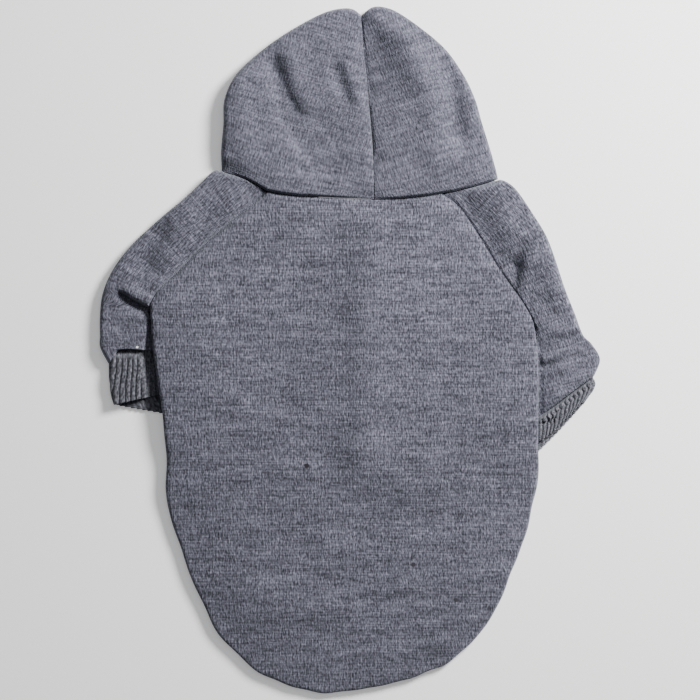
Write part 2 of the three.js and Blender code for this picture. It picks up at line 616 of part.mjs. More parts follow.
const sweatshirt = new THREE.Group();
sweatshirt.name = "dog_sweatshirt";
sweatshirt.add(
  wall("back_panel", fleece, backGrid(), { loop: true, pole: true }),
  wall("belly_panel", fleece, bellyGrid()),
  wall("sleeve_left", fleece, sleeveGrid(leftSleeveRows, leftTuck, 7.3)),
  wall("sleeve_right", fleece, sleeveGrid(rightSleeveRows, rightTuck, 7.6)),
  wall("cuff_left", ribbing, cuffGrid(leftCuff), { ring: true, thickness: rib, raise: raiseRibs }),
  wall("cuff_right", ribbing, cuffGrid(rightCuff), { ring: true, thickness: rib, raise: raiseRibs }),
  wall("hood_left", fleece, hoodGrid(leftHoodRows, -1)),
  wall("hood_right", fleece, hoodGrid(rightHoodRows, 1)),
);

export default sweatshirt;
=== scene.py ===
# A small dog's hooded sweatshirt in grey marl fleece, laid flat, back up, and seen from straight above.
# Sizes in the tables are millimetres; meshes are made in metres.
import math
import bpy
import numpy as np
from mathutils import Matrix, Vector


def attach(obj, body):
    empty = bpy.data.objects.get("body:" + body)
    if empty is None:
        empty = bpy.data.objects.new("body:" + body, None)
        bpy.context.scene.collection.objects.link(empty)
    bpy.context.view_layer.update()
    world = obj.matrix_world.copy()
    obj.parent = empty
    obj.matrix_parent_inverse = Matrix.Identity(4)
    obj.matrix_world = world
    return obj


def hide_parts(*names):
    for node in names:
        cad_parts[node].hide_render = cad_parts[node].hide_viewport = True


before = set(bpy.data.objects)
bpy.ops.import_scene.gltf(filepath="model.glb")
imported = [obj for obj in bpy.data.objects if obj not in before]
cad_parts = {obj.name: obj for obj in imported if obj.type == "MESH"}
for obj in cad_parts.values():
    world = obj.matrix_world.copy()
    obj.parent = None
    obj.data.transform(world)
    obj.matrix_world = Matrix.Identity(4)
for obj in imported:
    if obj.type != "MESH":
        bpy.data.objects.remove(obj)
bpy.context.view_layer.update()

mm = 0.001
unit = 100              # cloth laid flat is measured in units of this many millimetres
cloth = 1.8             # fleece thickness
rib = 1.3               # cuff thickness in the grooves
seam = 0.12             # space between two panels at a seam
twoLayers = 3.9         # two layers lying on each other
plateau = 6.2           # height of the back's middle
sideRollHeight = 6.8    # height of its rolled sides
raisedRollHeight = 9.0  # the same where a sleeve is tucked under them
rollDepth = 0.8         # how far a fold stands out, in radii of its height
sideWrap = 26           # how far the back's sides go under
hemWrap = 12            # how far its hem goes under
lap = 3.5               # overlap of the back's sides and the belly
sleeveHeight = 6.6
hoodHeight = 7.5
neckSeamHeight = 4.6
pinch = 1.0             # the back's edge stands this much higher than the neck seam
bellyHemY = -71
bellyHemDip = 9
middle = np.array([0.0, -10.0])  # the back's sections start here
noise = np.random.default_rng(11)

# Points of a folded section: over the top, close to the fold, round the fold and under it.
topSteps, marginSteps, arcSteps, underSteps = 140, 21, 29, 39


# Rises from 0 to 1 between start and stop, as three times the square less twice the cube.
def smooth(start, stop, x):
    t = np.clip((np.asarray(x, float) - start) / (stop - start), 0, 1)
    return t * t * (3 - 2 * t)


def mix(a, b, t):
    return a + (b - a) * t


# A centripetal Catmull-Rom curve through points, and the row number of each of its dense points.
def curve(points, perSpan=32):
    p = np.asarray(points, float)
    p = np.vstack([2 * p[0] - p[1], p, 2 * p[-1] - p[-2]])
    step = np.maximum(np.sum((p[1:] - p[:-1]) ** 2, axis=1) ** 0.25, 1e-6)[:, None]
    p0, p1, p2, p3 = p[:-3], p[1:-2], p[2:-1], p[3:]
    d0, d1, d2 = step[:-2], step[1:-1], step[2:]
    m1 = ((p1 - p0) / d0 - (p2 - p0) / (d0 + d1) + (p2 - p1) / d1) * d1
    m2 = ((p2 - p1) / d1 - (p3 - p1) / (d1 + d2) + (p3 - p2) / d2) * d1
    w = (np.arange(perSpan) / perSpan)[None, :, None]
    p1, p2, m1, m2 = (a[:, None, :] for a in (p1, p2, m1, m2))
    dense = p1 + m1 * w + (3 * (p2 - p1) - 2 * m1 - m2) * w**2 + (2 * (p1 - p2) + m1 + m2) * w**3
    dense = np.vstack([dense.reshape(-1, p.shape[1]), p[-2]])
    return np.arange(len(dense)) / perSpan, dense


# Points of the curve at even row numbers.
def atRows(points, count):
    row, dense = curve(points)
    wanted = np.linspace(0, row[-1], count)
    return np.stack([np.interp(wanted, row, dense[:, k]) for k in range(dense.shape[1])], axis=1)


# Points of the curve at even lengths.
def atLengths(points, count):
    dense = curve(points)[1]
    along = np.r_[0, np.cumsum(np.linalg.norm(np.diff(dense, axis=0), axis=1))]
    wanted = np.linspace(0, along[-1], count)
    return np.stack([np.interp(wanted, along, dense[:, k]) for k in range(dense.shape[1])], axis=1)


# Sum of soft folds, each a line of x, y with a half-width and a height, which is below 0 for a trough.
# A fold falls off as e to the minus square of the distance over its half-width.
def foldsAt(folds, x, y):
    total = np.zeros_like(x)
    for line, halfWidth, height in folds:
        away = np.full_like(x, 1e9)
        for (x1, y1), (x2, y2) in zip(line[:-1], line[1:]):
            ax, ay = x2 - x1, y2 - y1
            share = np.clip(((x - x1) * ax + (y - y1) * ay) / (ax * ax + ay * ay), 0, 1)
            away = np.minimum(away, np.hypot(x - x1 - share * ax, y - y1 - share * ay))
        total = total + height * np.exp(-((away / halfWidth) ** 2))
    return total


# A crease from x1, y1 to x2, y2: a trough that is steep on its left, where a lip stands up beside it, and
# soft on its right. Both sides are e to the minus square of the distance over a width.
def creaseAt(crease, x, y):
    x1, y1, x2, y2, depth, lip, width = crease
    length = math.hypot(x2 - x1, y2 - y1)
    ax, ay = (x2 - x1) / length, (y2 - y1) / length
    along = (x - x1) * ax + (y - y1) * ay
    side = (y - y1) * ax - (x - x1) * ay
    ends = smooth(-3, 3, along) * (1 - smooth(length - 1, length + 5, along))
    hollow = np.where(side > 0, np.exp(-((side / 0.9) ** 2)), np.exp(-((side / width) ** 2)))
    ridge = np.where(side > 0, np.exp(-(((side - 3.2) / 3.2) ** 2)), 0) * smooth(0, 1.2, side)
    return (lip * ridge - depth * hollow) * ends


# Low uneven waves: a sum of sines with directions and phases from the seed.
waveList = [
    (noise.uniform(14, 46), noise.uniform(0, math.pi), noise.uniform(0, 6.28), noise.uniform(0.5, 1))
    for _ in range(14)
]


def waves(x, y, size):
    total = np.zeros_like(x)
    for length, turn, phase, weight in waveList:
        k = 2 * math.pi / length
        total = total + weight * np.sin(k * (x * math.cos(turn) + y * math.sin(turn)) + phase)
    return total * size / 3


# Sections of folded cloth, a row each: straight over the top from start, half an ellipse round the fold, and
# straight under to end. height(x, y) is the upper face and under(distance from the fold) the lower one.
# along is the share of the way out on the top, -1 round the fold and -2 under it.
def foldedSections(start, fold, end, height, under, curl=math.pi):
    rows = len(fold)
    curl = np.broadcast_to(np.asarray(curl, float), (rows,))
    out = fold - start
    length = np.linalg.norm(out, axis=1)
    out = out / length[:, None]
    underEdge = under(np.zeros((rows, 1)))[:, 0]
    radius = (height(fold[:, None, 0], fold[:, None, 1])[:, 0] - underEdge) / 2
    reach = np.minimum(rollDepth * radius, 0.5 * length)
    apex = fold - out * (reach * np.sin(np.minimum(curl, math.pi / 2)))[:, None]
    flat = np.linalg.norm(apex - start, axis=1)
    toMargin = flat - np.minimum(5, 0.4 * length)
    d = np.concatenate([
        toMargin[:, None] * np.linspace(0, 1, topSteps)[None],
        mix(toMargin[:, None], flat[:, None], np.linspace(0, 1, marginSteps + 1)[None, 1:]),
    ], axis=1)
    p = start[:, None] + out[:, None] * d[..., None]
    top = np.dstack([p, height(p[..., 0], p[..., 1])])
    topHeight = top[:, -1, 2]
    inward = end - fold
    inward = inward / np.linalg.norm(inward, axis=1)[:, None]
    share = np.linspace(0, 1, arcSteps + 1)[None, 1:]
    turn = curl[:, None] * share
    outer = apex[:, None] + out[:, None] * (reach[:, None] * np.sin(turn))[..., None]
    lower = fold[:, None] + inward[:, None] * (rollDepth * radius[:, None] * (1 - np.sin(turn)))[..., None]
    p = np.where((turn < math.pi / 2)[..., None], outer, lower)
    settle = (underEdge - topHeight + 2 * radius)[:, None] * smooth(0.3, 1, share)
    arc = np.dstack([p, topHeight[:, None] - radius[:, None] * (1 - np.cos(turn)) + settle])
    arc = np.where((curl < 0.02)[:, None, None], top[:, -1:], arc)
    first = fold + inward * (rollDepth * radius)[:, None]
    share = np.linspace(0, 1, underSteps + 1)[None, 1:, None]
    p = mix(first[:, None], end[:, None], share)
    away = np.linalg.norm(p - fold[:, None], axis=2)
    below = np.dstack([p, under(away)])
    below = np.where((curl < math.pi - 0.02)[:, None, None], arc[:, -1:], below)
    points = np.concatenate([top, arc, below], axis=1)
    along = np.concatenate([
        d / length[:, None], np.full((rows, arcSteps), -1.0), np.full((rows, underSteps), -2.0),
    ], axis=1)
    return {"points": points, "along": along, "below": share[0, :, 0], "start": start, "out": out}


# A change made on the top of a section is carried on round its fold, and fades there.
def roundTheFold(change, along):
    last = np.sum(along[0] >= 0) - 1
    fade = 1 - smooth(0, 0.7, np.linspace(0, 1, arcSteps + 1)[None, 1:])
    change[:, last + 1:last + 1 + arcSteps] = change[:, last, None] * fade
    return change


# Resamples each section by length, the top and the edge apart, and lays it out flat for the knit's grain.
def columns(section, topCount, edgeCount, grainTurn=0.0):
    split = topSteps - 1
    grid, flat = [], []
    for line, start, out in zip(section["points"], section["start"], section["out"]):
        steps = np.linalg.norm(np.diff(line, axis=0), axis=1)
        length = np.r_[0, np.cumsum(steps)]
        wanted = np.r_[
            np.linspace(0, length[split], topCount + 1)[:-1],
            np.linspace(length[split], max(length[-1], length[split] + 1e-6), edgeCount + 1),
        ]
        grid.append(np.stack([np.interp(wanted, length, line[:, k]) for k in range(3)], axis=1))
        flat.append(start[None] + out[None] * wanted[:, None])
    grid, flat = np.array(grid), np.array(flat)
    c, s = math.cos(grainTurn), math.sin(grainTurn)
    return grid, np.dstack([flat[..., 0] * c + flat[..., 1] * s, -flat[..., 0] * s + flat[..., 1] * c])


# A mesh from a grid of points. loop joins the last row to the first, ring does so with the columns, and pole
# makes the first column one point.
def sheetMesh(name, grid, grain, loop=False, ring=False, pole=False, thickness=cloth):
    rows, cols = grid.shape[:2]
    index = np.arange(rows * cols).reshape(rows, cols)
    if pole:
        index[:, 0] = index[0, 0]
    down = np.roll(index, -1, axis=0) if loop else index[1:]
    here = index if loop else index[:-1]
    corners = [here, down, np.roll(down, -1, axis=1), np.roll(here, -1, axis=1)]
    if not ring:
        corners = [corner[:, :-1] for corner in corners]
    quads = np.stack(corners, axis=-1).reshape(-1, 4)
    corner = grid[rows // 2, 3]
    if np.cross(grid[rows // 2 + 1, 3] - corner, grid[rows // 2, 4] - corner)[2] < 0:
        quads = quads[:, ::-1]  # faces point up on the top
    faces = [tuple(dict.fromkeys(q)) for q in quads.tolist()]
    verts = grid.reshape(-1, 3) * mm
    flat = grain.reshape(-1, 2)
    used, compact = np.unique(np.array([i for f in faces for i in f]), return_inverse=True)
    sizes = [len(f) for f in faces]
    stops = np.cumsum(sizes)
    faces = [compact[stop - size:stop].tolist() for size, stop in zip(sizes, stops)]
    mesh = bpy.data.meshes.new(name)
    mesh.from_pydata(verts[used].tolist(), [], faces)
    uv = mesh.uv_layers.new(name="grain")
    uv.data.foreach_set("uv", (flat[used][compact] / unit).ravel())
    mesh.polygons.foreach_set("use_smooth", [True] * len(mesh.polygons))
    mesh.update()
    piece = bpy.data.objects.new(name, mesh)
    bpy.context.scene.collection.objects.link(piece)
    shell = piece.modifiers.new("thickness", "SOLIDIFY")
    shell.thickness = thickness * mm
    shell.offset = -1
    return piece


# Adds a node: inputs are sockets to link or values to set, settings are the node's own properties.
def addNode(tree, kind, inputs=(), **settings):
    node = tree.nodes.new(kind)
    for key, value in settings.items():
        setattr(node, key, value)
    for key, value in dict(inputs).items():
        socket = node.inputs[key]
        if isinstance(value, bpy.types.NodeSocket):
            tree.links.new(value, socket)
        else:
            socket.default_value = value
    return node


def compute(tree, operation, a, b=0.0, c=0.0):
    return addNode(tree, "ShaderNodeMath", {0: a, 1: b, 2: c}, operation=operation).outputs[0]


def groupWith(name, inputs, outputs):
    tree = bpy.data.node_groups.new(name, "ShaderNodeTree")
    for label, kind, value in inputs:
        socket = tree.interface.new_socket(label, in_out="INPUT", socket_type=kind)
        if value is not None:
            socket.default_value = value
    for label, kind in outputs:
        tree.interface.new_socket(label, in_out="OUTPUT", socket_type=kind)
    return tree, tree.nodes.new("NodeGroupInput"), tree.nodes.new("NodeGroupOutput")


# Marl knit: streaks of dark and light fibre along the courses, over wales that are broken into stitches.
# The tone is one half plus the weighted sum of the cells and sines, times the contrast, to a power.
walePitch = 1.76
coursePitch = 1.3


def makeMarl():
    tree, given, out = groupWith(
        "marlKnit",
        [("Flat", "NodeSocketVector", None), ("Dark", "NodeSocketColor", (0.04, 0.042, 0.06, 1)),
         ("Light", "NodeSocketColor", (0.3, 0.31, 0.36, 1)), ("Contrast", "NodeSocketFloat", 1.0),
         ("Streaks", "NodeSocketFloat", 1.0)],
        [("Color", "NodeSocketColor"), ("Height", "NodeSocketFloat")],
    )
    flat = given.outputs["Flat"]

    # Soft cells of noise about 0, across and up millimetres in size.
    def cells(across, up, detail, shift):
        scale = (unit / across, unit / up, 1)
        place = (shift, shift, shift)
        scaled = addNode(tree, "ShaderNodeMapping", {"Vector": flat, "Scale": scale, "Location": place})
        cloud = addNode(tree, "ShaderNodeTexNoise", {
            "Vector": scaled.outputs[0], "Scale": 1.0, "Detail": detail, "Roughness": 0.6,
        })
        return compute(tree, "SUBTRACT", cloud.outputs["Fac"], 0.5)

    long, patch, drift = cells(7.5, 1.2, 2.0, 3.1), cells(30, 4.5, 1.0, 5.9), cells(8, 6, 1.0, 9.4)
    short, broken, thin = cells(2.2, 0.9, 1.0, 4.6), cells(1.6, 1.8, 1.0, 7.7), cells(18, 0.8, 1.0, 8.3)
    fibre, fuzz = cells(0.5, 2.3, 1.0, 1.3), cells(0.5, 1.4, 0.0, 2.2)
    parts = addNode(tree, "ShaderNodeSeparateXYZ", {0: flat})
    wander = compute(tree, "MULTIPLY", drift, 9.0)
    wale = compute(tree, "MULTIPLY_ADD", parts.outputs[0], unit * 2 * math.pi / walePitch, wander)
    wale = compute(tree, "SINE", wale)
    course = compute(tree, "MULTIPLY", parts.outputs[1], unit * 2 * math.pi / coursePitch)
    course = compute(tree, "SINE", course)
    stitch = compute(tree, "MULTIPLY", wale, compute(tree, "MULTIPLY_ADD", broken, 3.0, 0.6))
    marled = compute(tree, "MULTIPLY_ADD", long, 0.85, compute(tree, "MULTIPLY", patch, 0.6))
    marled = compute(tree, "MULTIPLY_ADD", short, 0.55, marled)
    marled = compute(tree, "MULTIPLY_ADD", thin, 0.45, marled)
    total = compute(tree, "MULTIPLY", marled, given.outputs["Streaks"])
    total = compute(tree, "MULTIPLY_ADD", fibre, 1.5, total)
    total = compute(tree, "MULTIPLY_ADD", fuzz, 1.1, total)
    total = compute(tree, "MULTIPLY_ADD", stitch, 0.155, total)
    total = compute(tree, "MULTIPLY_ADD", course, 0.025, total)
    even = compute(tree, "MAXIMUM", compute(tree, "MULTIPLY_ADD", total, given.outputs["Contrast"], 0.5), 0.0)
    tone = compute(tree, "POWER", even, 1.9)
    colour = addNode(tree, "ShaderNodeMix", {"Factor": tone}, data_type="RGBA", clamp_factor=True)
    tree.links.new(given.outputs["Dark"], colour.inputs[6])
    tree.links.new(given.outputs["Light"], colour.inputs[7])
    height = compute(tree, "MULTIPLY_ADD", stitch, 0.2, compute(tree, "MULTIPLY", course, 0.08))
    height = compute(tree, "MULTIPLY_ADD", fibre, 0.9, height)
    height = compute(tree, "MULTIPLY_ADD", fuzz, 0.6, height)
    height = compute(tree, "MULTIPLY_ADD", short, 0.5, height)
    tree.links.new(colour.outputs[2], out.inputs["Color"])
    tree.links.new(height, out.inputs["Height"])
    return tree


marlKnit = makeMarl()
print("marl knit made")


# A cloth material. dark and light are its two fibres' colours, and a fleck is x, y, z, radius and colour.
# A fleck's edge lies where the distance from its middle comes to the radius times 0.6 plus a noise.
def clothMaterial(name, dark, light, contrast, bump, streaks=1.0, flecks=()):
    material = bpy.data.materials.new(name)
    material.use_nodes = True
    tree = material.node_tree
    tree.nodes.clear()
    flat = addNode(tree, "ShaderNodeUVMap", uv_map="grain").outputs[0]
    knit = addNode(tree, "ShaderNodeGroup", node_tree=marlKnit)
    tree.links.new(flat, knit.inputs["Flat"])
    knit.inputs["Dark"].default_value = (*dark, 1)
    knit.inputs["Light"].default_value = (*light, 1)
    knit.inputs["Contrast"].default_value = contrast
    knit.inputs["Streaks"].default_value = streaks
    colour = knit.outputs["Color"]
    place = addNode(tree, "ShaderNodeTexCoord").outputs["Object"]
    for x, y, z, radius, shade in flecks:
        spot = (x * mm, y * mm, z * mm)
        far = addNode(tree, "ShaderNodeVectorMath", {0: place, 1: spot}, operation="DISTANCE")
        ragged = addNode(tree, "ShaderNodeTexNoise", {"Vector": place, "Scale": 900.0, "Detail": 2.0})
        inside = compute(tree, "SUBTRACT", radius * mm * 0.6, far.outputs["Value"])
        edge = compute(tree, "MULTIPLY_ADD", ragged.outputs["Fac"], radius * mm, inside)
        amount = compute(tree, "MULTIPLY", edge, 4 / (radius * mm))
        blend = addNode(tree, "ShaderNodeMix", {"Factor": amount}, data_type="RGBA", clamp_factor=True)
        tree.links.new(colour, blend.inputs[6])
        blend.inputs[7].default_value = (*shade, 1)
        colour = blend.outputs[2]
    lift = addNode(tree, "ShaderNodeBump", {
        "Height": knit.outputs["Height"], "Strength": 1.0, "Distance": bump * mm,
    })
    shader = addNode(tree, "ShaderNodeBsdfPrincipled", {
        "Base Color": colour, "Roughness": 0.95, "Specular IOR Level": 0.15,
        "Sheen Weight": 0.25, "Sheen Roughness": 0.6, "Sheen Tint": (0.75, 0.78, 0.9, 1),
        "Normal": lift.outputs[0],
    })
    addNode(tree, "ShaderNodeOutputMaterial", {"Surface": shader.outputs[0]})
    return material


fleece = {"dark": (0.006, 0.006, 0.010), "light": (0.238, 0.238, 0.314), "contrast": 0.55, "bump": 0.22}
hoodFleece = {**fleece, "light": (0.25, 0.25, 0.33), "contrast": 0.41, "streaks": 1.15}
ribbing = {"dark": (0.006, 0.006, 0.009), "light": (0.235, 0.236, 0.28), "contrast": 0.6, "bump": 0.12,
           "streaks": 0.3}


# Each piece gets its material, rides on the one body, and replaces its solid.
def dress(piece, material):
    piece.data.materials.append(material)
    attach(piece, "root")
    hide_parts(piece.name.replace("_cloth", ""))


# Area of a grid in square metres: half the cross product of each quad's diagonals.
def areaOf(grid, loop=False):
    g = np.concatenate([grid, grid[:1]]) if loop else grid
    a, b = g[1:, 1:] - g[:-1, :-1], g[1:, :-1] - g[:-1, 1:]
    return float(np.linalg.norm(np.cross(a, b), axis=2).sum() / 2) * mm * mm


# Seam lines from left to right, and the back's outline clockwise from the right shoulder, as x, y.
neckLine = np.array([
    [-67, 90.5], [-58, 87.9], [-52, 85.6], [-46.5, 82.6], [-41.5, 79.7], [-34, 78.2], [-25, 77.2],
    [-6.5, 76.4], [12, 75.6], [24, 75.8], [38.5, 77.3], [51.5, 79.4], [61.5, 81.9], [75, 85.8]])
throatLine = np.array([
    [-67, 90.4], [-52, 78], [-37.7, 66.2], [-18, 61], [-1, 59.5],
    [20, 61], [39.2, 66.2], [57, 75.7], [75.6, 85.6]])
backOutline = np.array([
    [46, 78.7], [54, 72.7], [64.5, 57.7], [74.9, 40.5], [86.4, 23.9], [91.2, 14.5], [93.5, 4],
    [94.2, -15], [94.1, -45], [94.7, -58], [93.6, -68], [91, -80], [86.3, -97], [77.5, -120.5],
    [66.5, -140], [48.5, -156.8], [25, -165.8], [3, -170.4], [-14, -171.9], [-30, -168.7],
    [-45, -161.8], [-58.5, -150.5], [-67.5, -139.5], [-74.5, -126.5], [-81.5, -108.5],
    [-87.5, -90.8], [-91.3, -78.5], [-92.2, -68], [-92.5, -49], [-93.8, -32], [-96.5, -14],
    [-98.6, 0.5], [-99.6, 14], [-99.7, 22], [-95.6, 29.8], [-87, 38.3], [-73.5, 52.3],
    [-60.5, 63.8], [-50, 72.6], [-41.2, 79.4]])


# y of the neck seam and of the throat at x.
def neckAt(x):
    return np.interp(x, neckLine[:, 0], neckLine[:, 1])


def throatAt(x):
    return np.interp(x, throatLine[:, 0], throatLine[:, 1])


# The back panel. Pairs are left and right. A fleck is x, y, z, radius and colour.
back = {
    "underarmY": (22.0, 13.0), "tuckedTo": (-38.0, -54.0), "tuckDepth": (20.0, 19.0),
    "stitch": (1.8, 0.7), "neckStitch": 0.9, "puff": 0.25,
    "lowerFall": 1.1, "hemFall": 0.9, "hemRound": 0.6, "unevenEdge": 0.45, "unevenTop": 0.13,
    "flecks": [
        (-21.6, -57.7, 6.2, 1.25, (0.008, 0.007, 0.01)), (31.7, -107.2, 4.9, 1.2, (0.02, 0.018, 0.024)),
        (52.8, -124.8, 4.9, 1.2, (0.02, 0.018, 0.024))],
    "flat": (0.262, 0.272), "area": 0.0482,
}


def sided(key, x):
    return np.where(x < 0, back[key][0], back[key][1])


def onNeck(x, y):
    return (y > 74) & (x > -43) & (x < 48)


# 1 where the edge is sewn to the hood or a sleeve, 0 where it is a free fold.
def seamShare(x, y):
    arm = sided("underarmY", x)
    return np.where(onNeck(x, y), 1.0, smooth(0, 1, (y - arm + 4) / 20))


# Height of the back's edge: a roll at the sides, raised over the tucked sleeves, and low along their seams.
def backEdgeHeight(x, y):
    arm, tucked = sided("underarmY", x), sided("tuckedTo", x)
    raised = smooth(0, 1, (y - tucked + 30) / 44) * (1 - smooth(0, 1, (y - arm - 2) / 38))
    side = mix(sideRollHeight, raisedRollHeight, raised)
    shoulder = smooth(0, 1, (y - arm) / (78 - arm))
    return np.where(onNeck(x, y), neckSeamHeight + pinch, mix(side, neckSeamHeight + pinch, shoulder))


# The soft valley beside a seam, and the narrow line of its stitches.
def seamValley(distance, reach=4.0, depth=1.0):
    return depth * 0.75 * np.exp(-((distance / reach) ** 2))


def stitchLine(distance, depth):
    return depth * np.exp(-((distance / 0.9) ** 2))


backFolds = [
    ([(10, 66), (8, 10), (6, -50)], 9, 1.5), ([(16, 60), (14, 0), (12, -44)], 24, 1.5),
    ([(6, -86), (34, -82)], 13, -1.4),
    ([(-46, -124), (-14, -130)], 12, 1.6),
    ([(-48, 0), (-26, -34)], 13, -0.6),
    ([(-70, 20), (-76, -30)], 10, 0.5),
    ([(55, -110), (70, -80)], 12, 0.5),
    ([(-18, -88), (8, -92)], 2.4, -0.9),
]


# Sections run from the middle of the back to its outline, and from there under to the wrap's end. The height
# is the plateau, mixed into the edge's height towards the edge, less the seam's valley, plus folds and waves.
def makeBack():
    sides = atLengths(backOutline, 421)[:-1]
    inner = neckLine[(neckLine[:, 0] > -41.2) & (neckLine[:, 0] < 46)]
    neck = atLengths(np.vstack([[-41.2, 79.4], inner, [46, 78.7]]), 61)[:-1]
    fold = np.vstack([sides, neck])
    x, y = fold[:, 0], fold[:, 1]
    sewn = seamShare(x, y)
    inward = middle - fold
    inward = inward / np.linalg.norm(inward, axis=1)[:, None]
    fold = fold + inward * (seam / 2 * sewn)[:, None]
    fold = fold + inward * (waves(x, y, back["unevenEdge"]) * (1 - sewn) * smooth(-20, -60, y))[:, None]
    arm = sided("underarmY", x)
    curl = np.where(onNeck(x, y), 0, math.pi * smooth(0, 1, (arm + 2 - y) / 6))
    atHem = smooth(bellyHemY - 22, bellyHemY - 32, y)
    wrap = np.maximum(smooth(0, 1, (arm - 4 - y) / 9) * mix(sideWrap, hemWrap, atHem), 4)
    carried = smooth(0, 1, (y - sided("tuckedTo", x) + 16) / 16) * (y < 60)
    overBelly = (cloth + 0.3) * (1 - atHem)
    edge = backEdgeHeight(x, y)
    reach = np.linalg.norm(fold - middle, axis=1)
    tuckDepth = sided("tuckDepth", x)[:, None]
    stitch = np.where(onNeck(x, y), back["neckStitch"], sided("stitch", x))[:, None]

    def height(px, py):
        away = np.hypot(fold[:, None, 0] - px, fold[:, None, 1] - py)
        share = 1 - away / reach[:, None]
        level = mix(plateau, edge[:, None], smooth(0.3, 0.95, share))
        puff = back["puff"] * np.exp(-(((away - 6) / 4) ** 2)) * sewn[:, None]
        low = smooth(-62, -84, py)
        level = level - back["lowerFall"] * low - back["hemFall"] * smooth(-84, -165, py)
        level = level - back["hemRound"] * np.exp(-((away / 12) ** 2)) * (1 - sewn[:, None]) * low
        valley = (seamValley(away) + stitchLine(away, stitch)) * sewn[:, None]
        uneven = foldsAt(backFolds, px, py) + waves(px, py, back["unevenTop"])
        return level + puff - valley + uneven * smooth(0, 12, away)

    def under(away):
        onTuck = 1 - smooth(0, 1, (away - tuckDepth) / (sideWrap - 1 - tuckDepth))
        level = (twoLayers + 0.3) * carried[:, None] * onTuck
        rise = np.maximum(wrap - 4 * lap, 6)[:, None], np.maximum(wrap - 1.8 * lap, 9)[:, None]
        return np.maximum(level, overBelly[:, None] * smooth(0, 1, (away - rise[0]) / (rise[1] - rise[0])))

    end = fold + inward * wrap[:, None]
    section = foldedSections(np.broadcast_to(middle, fold.shape), fold, end, height, under, curl)
    grid, grain = columns(section, topCount=66, edgeCount=30)
    print("back area", areaOf(grid, True))
    return sheetMesh("back_panel_cloth", grid, grain, loop=True, pole=True), fold


backPiece, backEdge = makeBack()
print("back panel made")


# The sleeves. A row is x, y of the fold, of the upper end and of the lower end, from the neck to the cuff.
# tuck gives the line past which the sleeve lies under the back, and how softly it goes under.
leftSleeve = {
    "rows": [
        [-67.0, 90.4, -42.2, 78.6, -37.7, 66.2], [-75.0, 83.2, -51.2, 72.0, -42.7, 57.8],
        [-86.0, 73.8, -61.2, 63.6, -48.8, 48.2], [-97.5, 64.2, -70.2, 55.8, -55.0, 38.6],
        [-107.5, 55.0, -79.4, 46.6, -61.0, 29.6], [-116.0, 45.0, -88.2, 37.6, -66.8, 20.9],
        [-121.5, 35.5, -96.2, 29.9, -71.8, 13.6], [-124.6, 26.0, -100.5, 23.4, -77.0, 8.0],
        [-125.4, 17.0, -100.2, 16.6, -80.0, 5.0], [-125.4, 8.0, -90.0, 8.5, -81.5, 2.2],
        [-124.9, 1.0, -85.0, 1.2, -83.2, 0.2], [-121.2, -0.8, -84.0, -0.8, -83.0, -1.0]],
    "underarmRow": 7.3, "bodyX": -90, "seamReach": 4.0, "seamDepth": 1.4, "stitch": 1.8,
    "tuck": {
        "startY": 25, "endY": 20, "width": 2.4,
        "y": [-20, -6, 2, 10, 19, 25], "x": [-103, -103, -102.8, -101.2, -100, -99.6]},
    "crease": (-114.8, 28.4, -100.5, 20.4, 3.7, 1.8, 3.0),
    "folds": [
        ([(-97, 58), (-105, 42)], 6.5, -2.4), ([(-83, 66), (-92, 44)], 7.0, 1.1),
        ([(-112, 47), (-104, 42)], 6.0, -0.6), ([(-104, 37), (-95, 33)], 4.5, 1.0)],
    "droop": 6.2, "endArch": 1.3, "flecks": [(-106.3, 1.6, 6.2, 0.7, (0.85, 0.86, 0.9))],
    "flat": (0.115, 0.098), "area": 0.0079,
    "grainLine": [[-54, 86], [-75, 66], [-97, 45], [-108, 25], [-108, 0], [-107, -20]],
}
rightSleeve = {
    "rows": [
        [75.6, 85.6, 47.0, 77.9, 39.2, 66.2], [83.0, 80.6, 54.6, 72.6, 44.4, 57.8],
        [92.0, 68.0, 61.0, 63.6, 49.6, 48.2], [98.4, 57.0, 68.0, 52.4, 54.8, 38.6],
        [103.0, 45.0, 75.4, 40.3, 59.6, 29.6], [107.6, 31.0, 81.4, 31.6, 64.4, 20.9],
        [112.6, 18.5, 86.9, 23.8, 68.4, 12.4], [116.6, 8.0, 91.7, 14.4, 71.6, 4.0],
        [121.0, 3.4, 93.6, 6.0, 78.0, -8.0], [125.3, -4.0, 90.0, -12.0, 84.6, -22.0],
        [122.6, -12.6, 90.0, -37.4, 90.0, -37.8]],
    "underarmRow": 7.6, "bodyX": 90, "seamReach": 9.0, "seamDepth": 2.5, "stitch": 0.8,
    "tuck": {"startY": 14, "endY": 10, "width": -2.6, "y": [-50, -15, 4, 15], "x": [96.3, 96.3, 95.2, 92.2]},
    "crease": None,
    "folds": [
        ([(86, 52), (84.5, 47)], 4.5, -0.9), ([(83, 41), (78.5, 31)], 4.0, -2.5),
        ([(91, 54), (88.5, 45), (86, 33)], 4.0, 1.2), ([(96, 58), (104, 36), (111, 14)], 8.0, 1.8),
        ([(85, 26), (91, 6), (91.5, -14), (90, -34)], 9.0, -2.4), ([(52, 75), (66, 56), (80, 36)], 6.0, -0.5),
        ([(68, 78), (83, 58), (91, 44)], 8.0, 1.9), ([(97, -8.2), (115, -2.6)], 1.5, -0.9),
        ([(97, -5), (114, 0.6)], 1.8, 1.1), ([(106, -6), (112, -9)], 6.0, 0.7),
        ([(96, 24), (104, 14)], 5.0, -0.9), ([(104, 40), (101, 28)], 4.0, 0.5)],
    "droop": 0.0, "endArch": 0.0, "flat": (0.125, 0.110), "area": 0.0087,
    "grainLine": [[58, 86], [82, 60], [94, 30], [103, 5], [114, -32]],
}


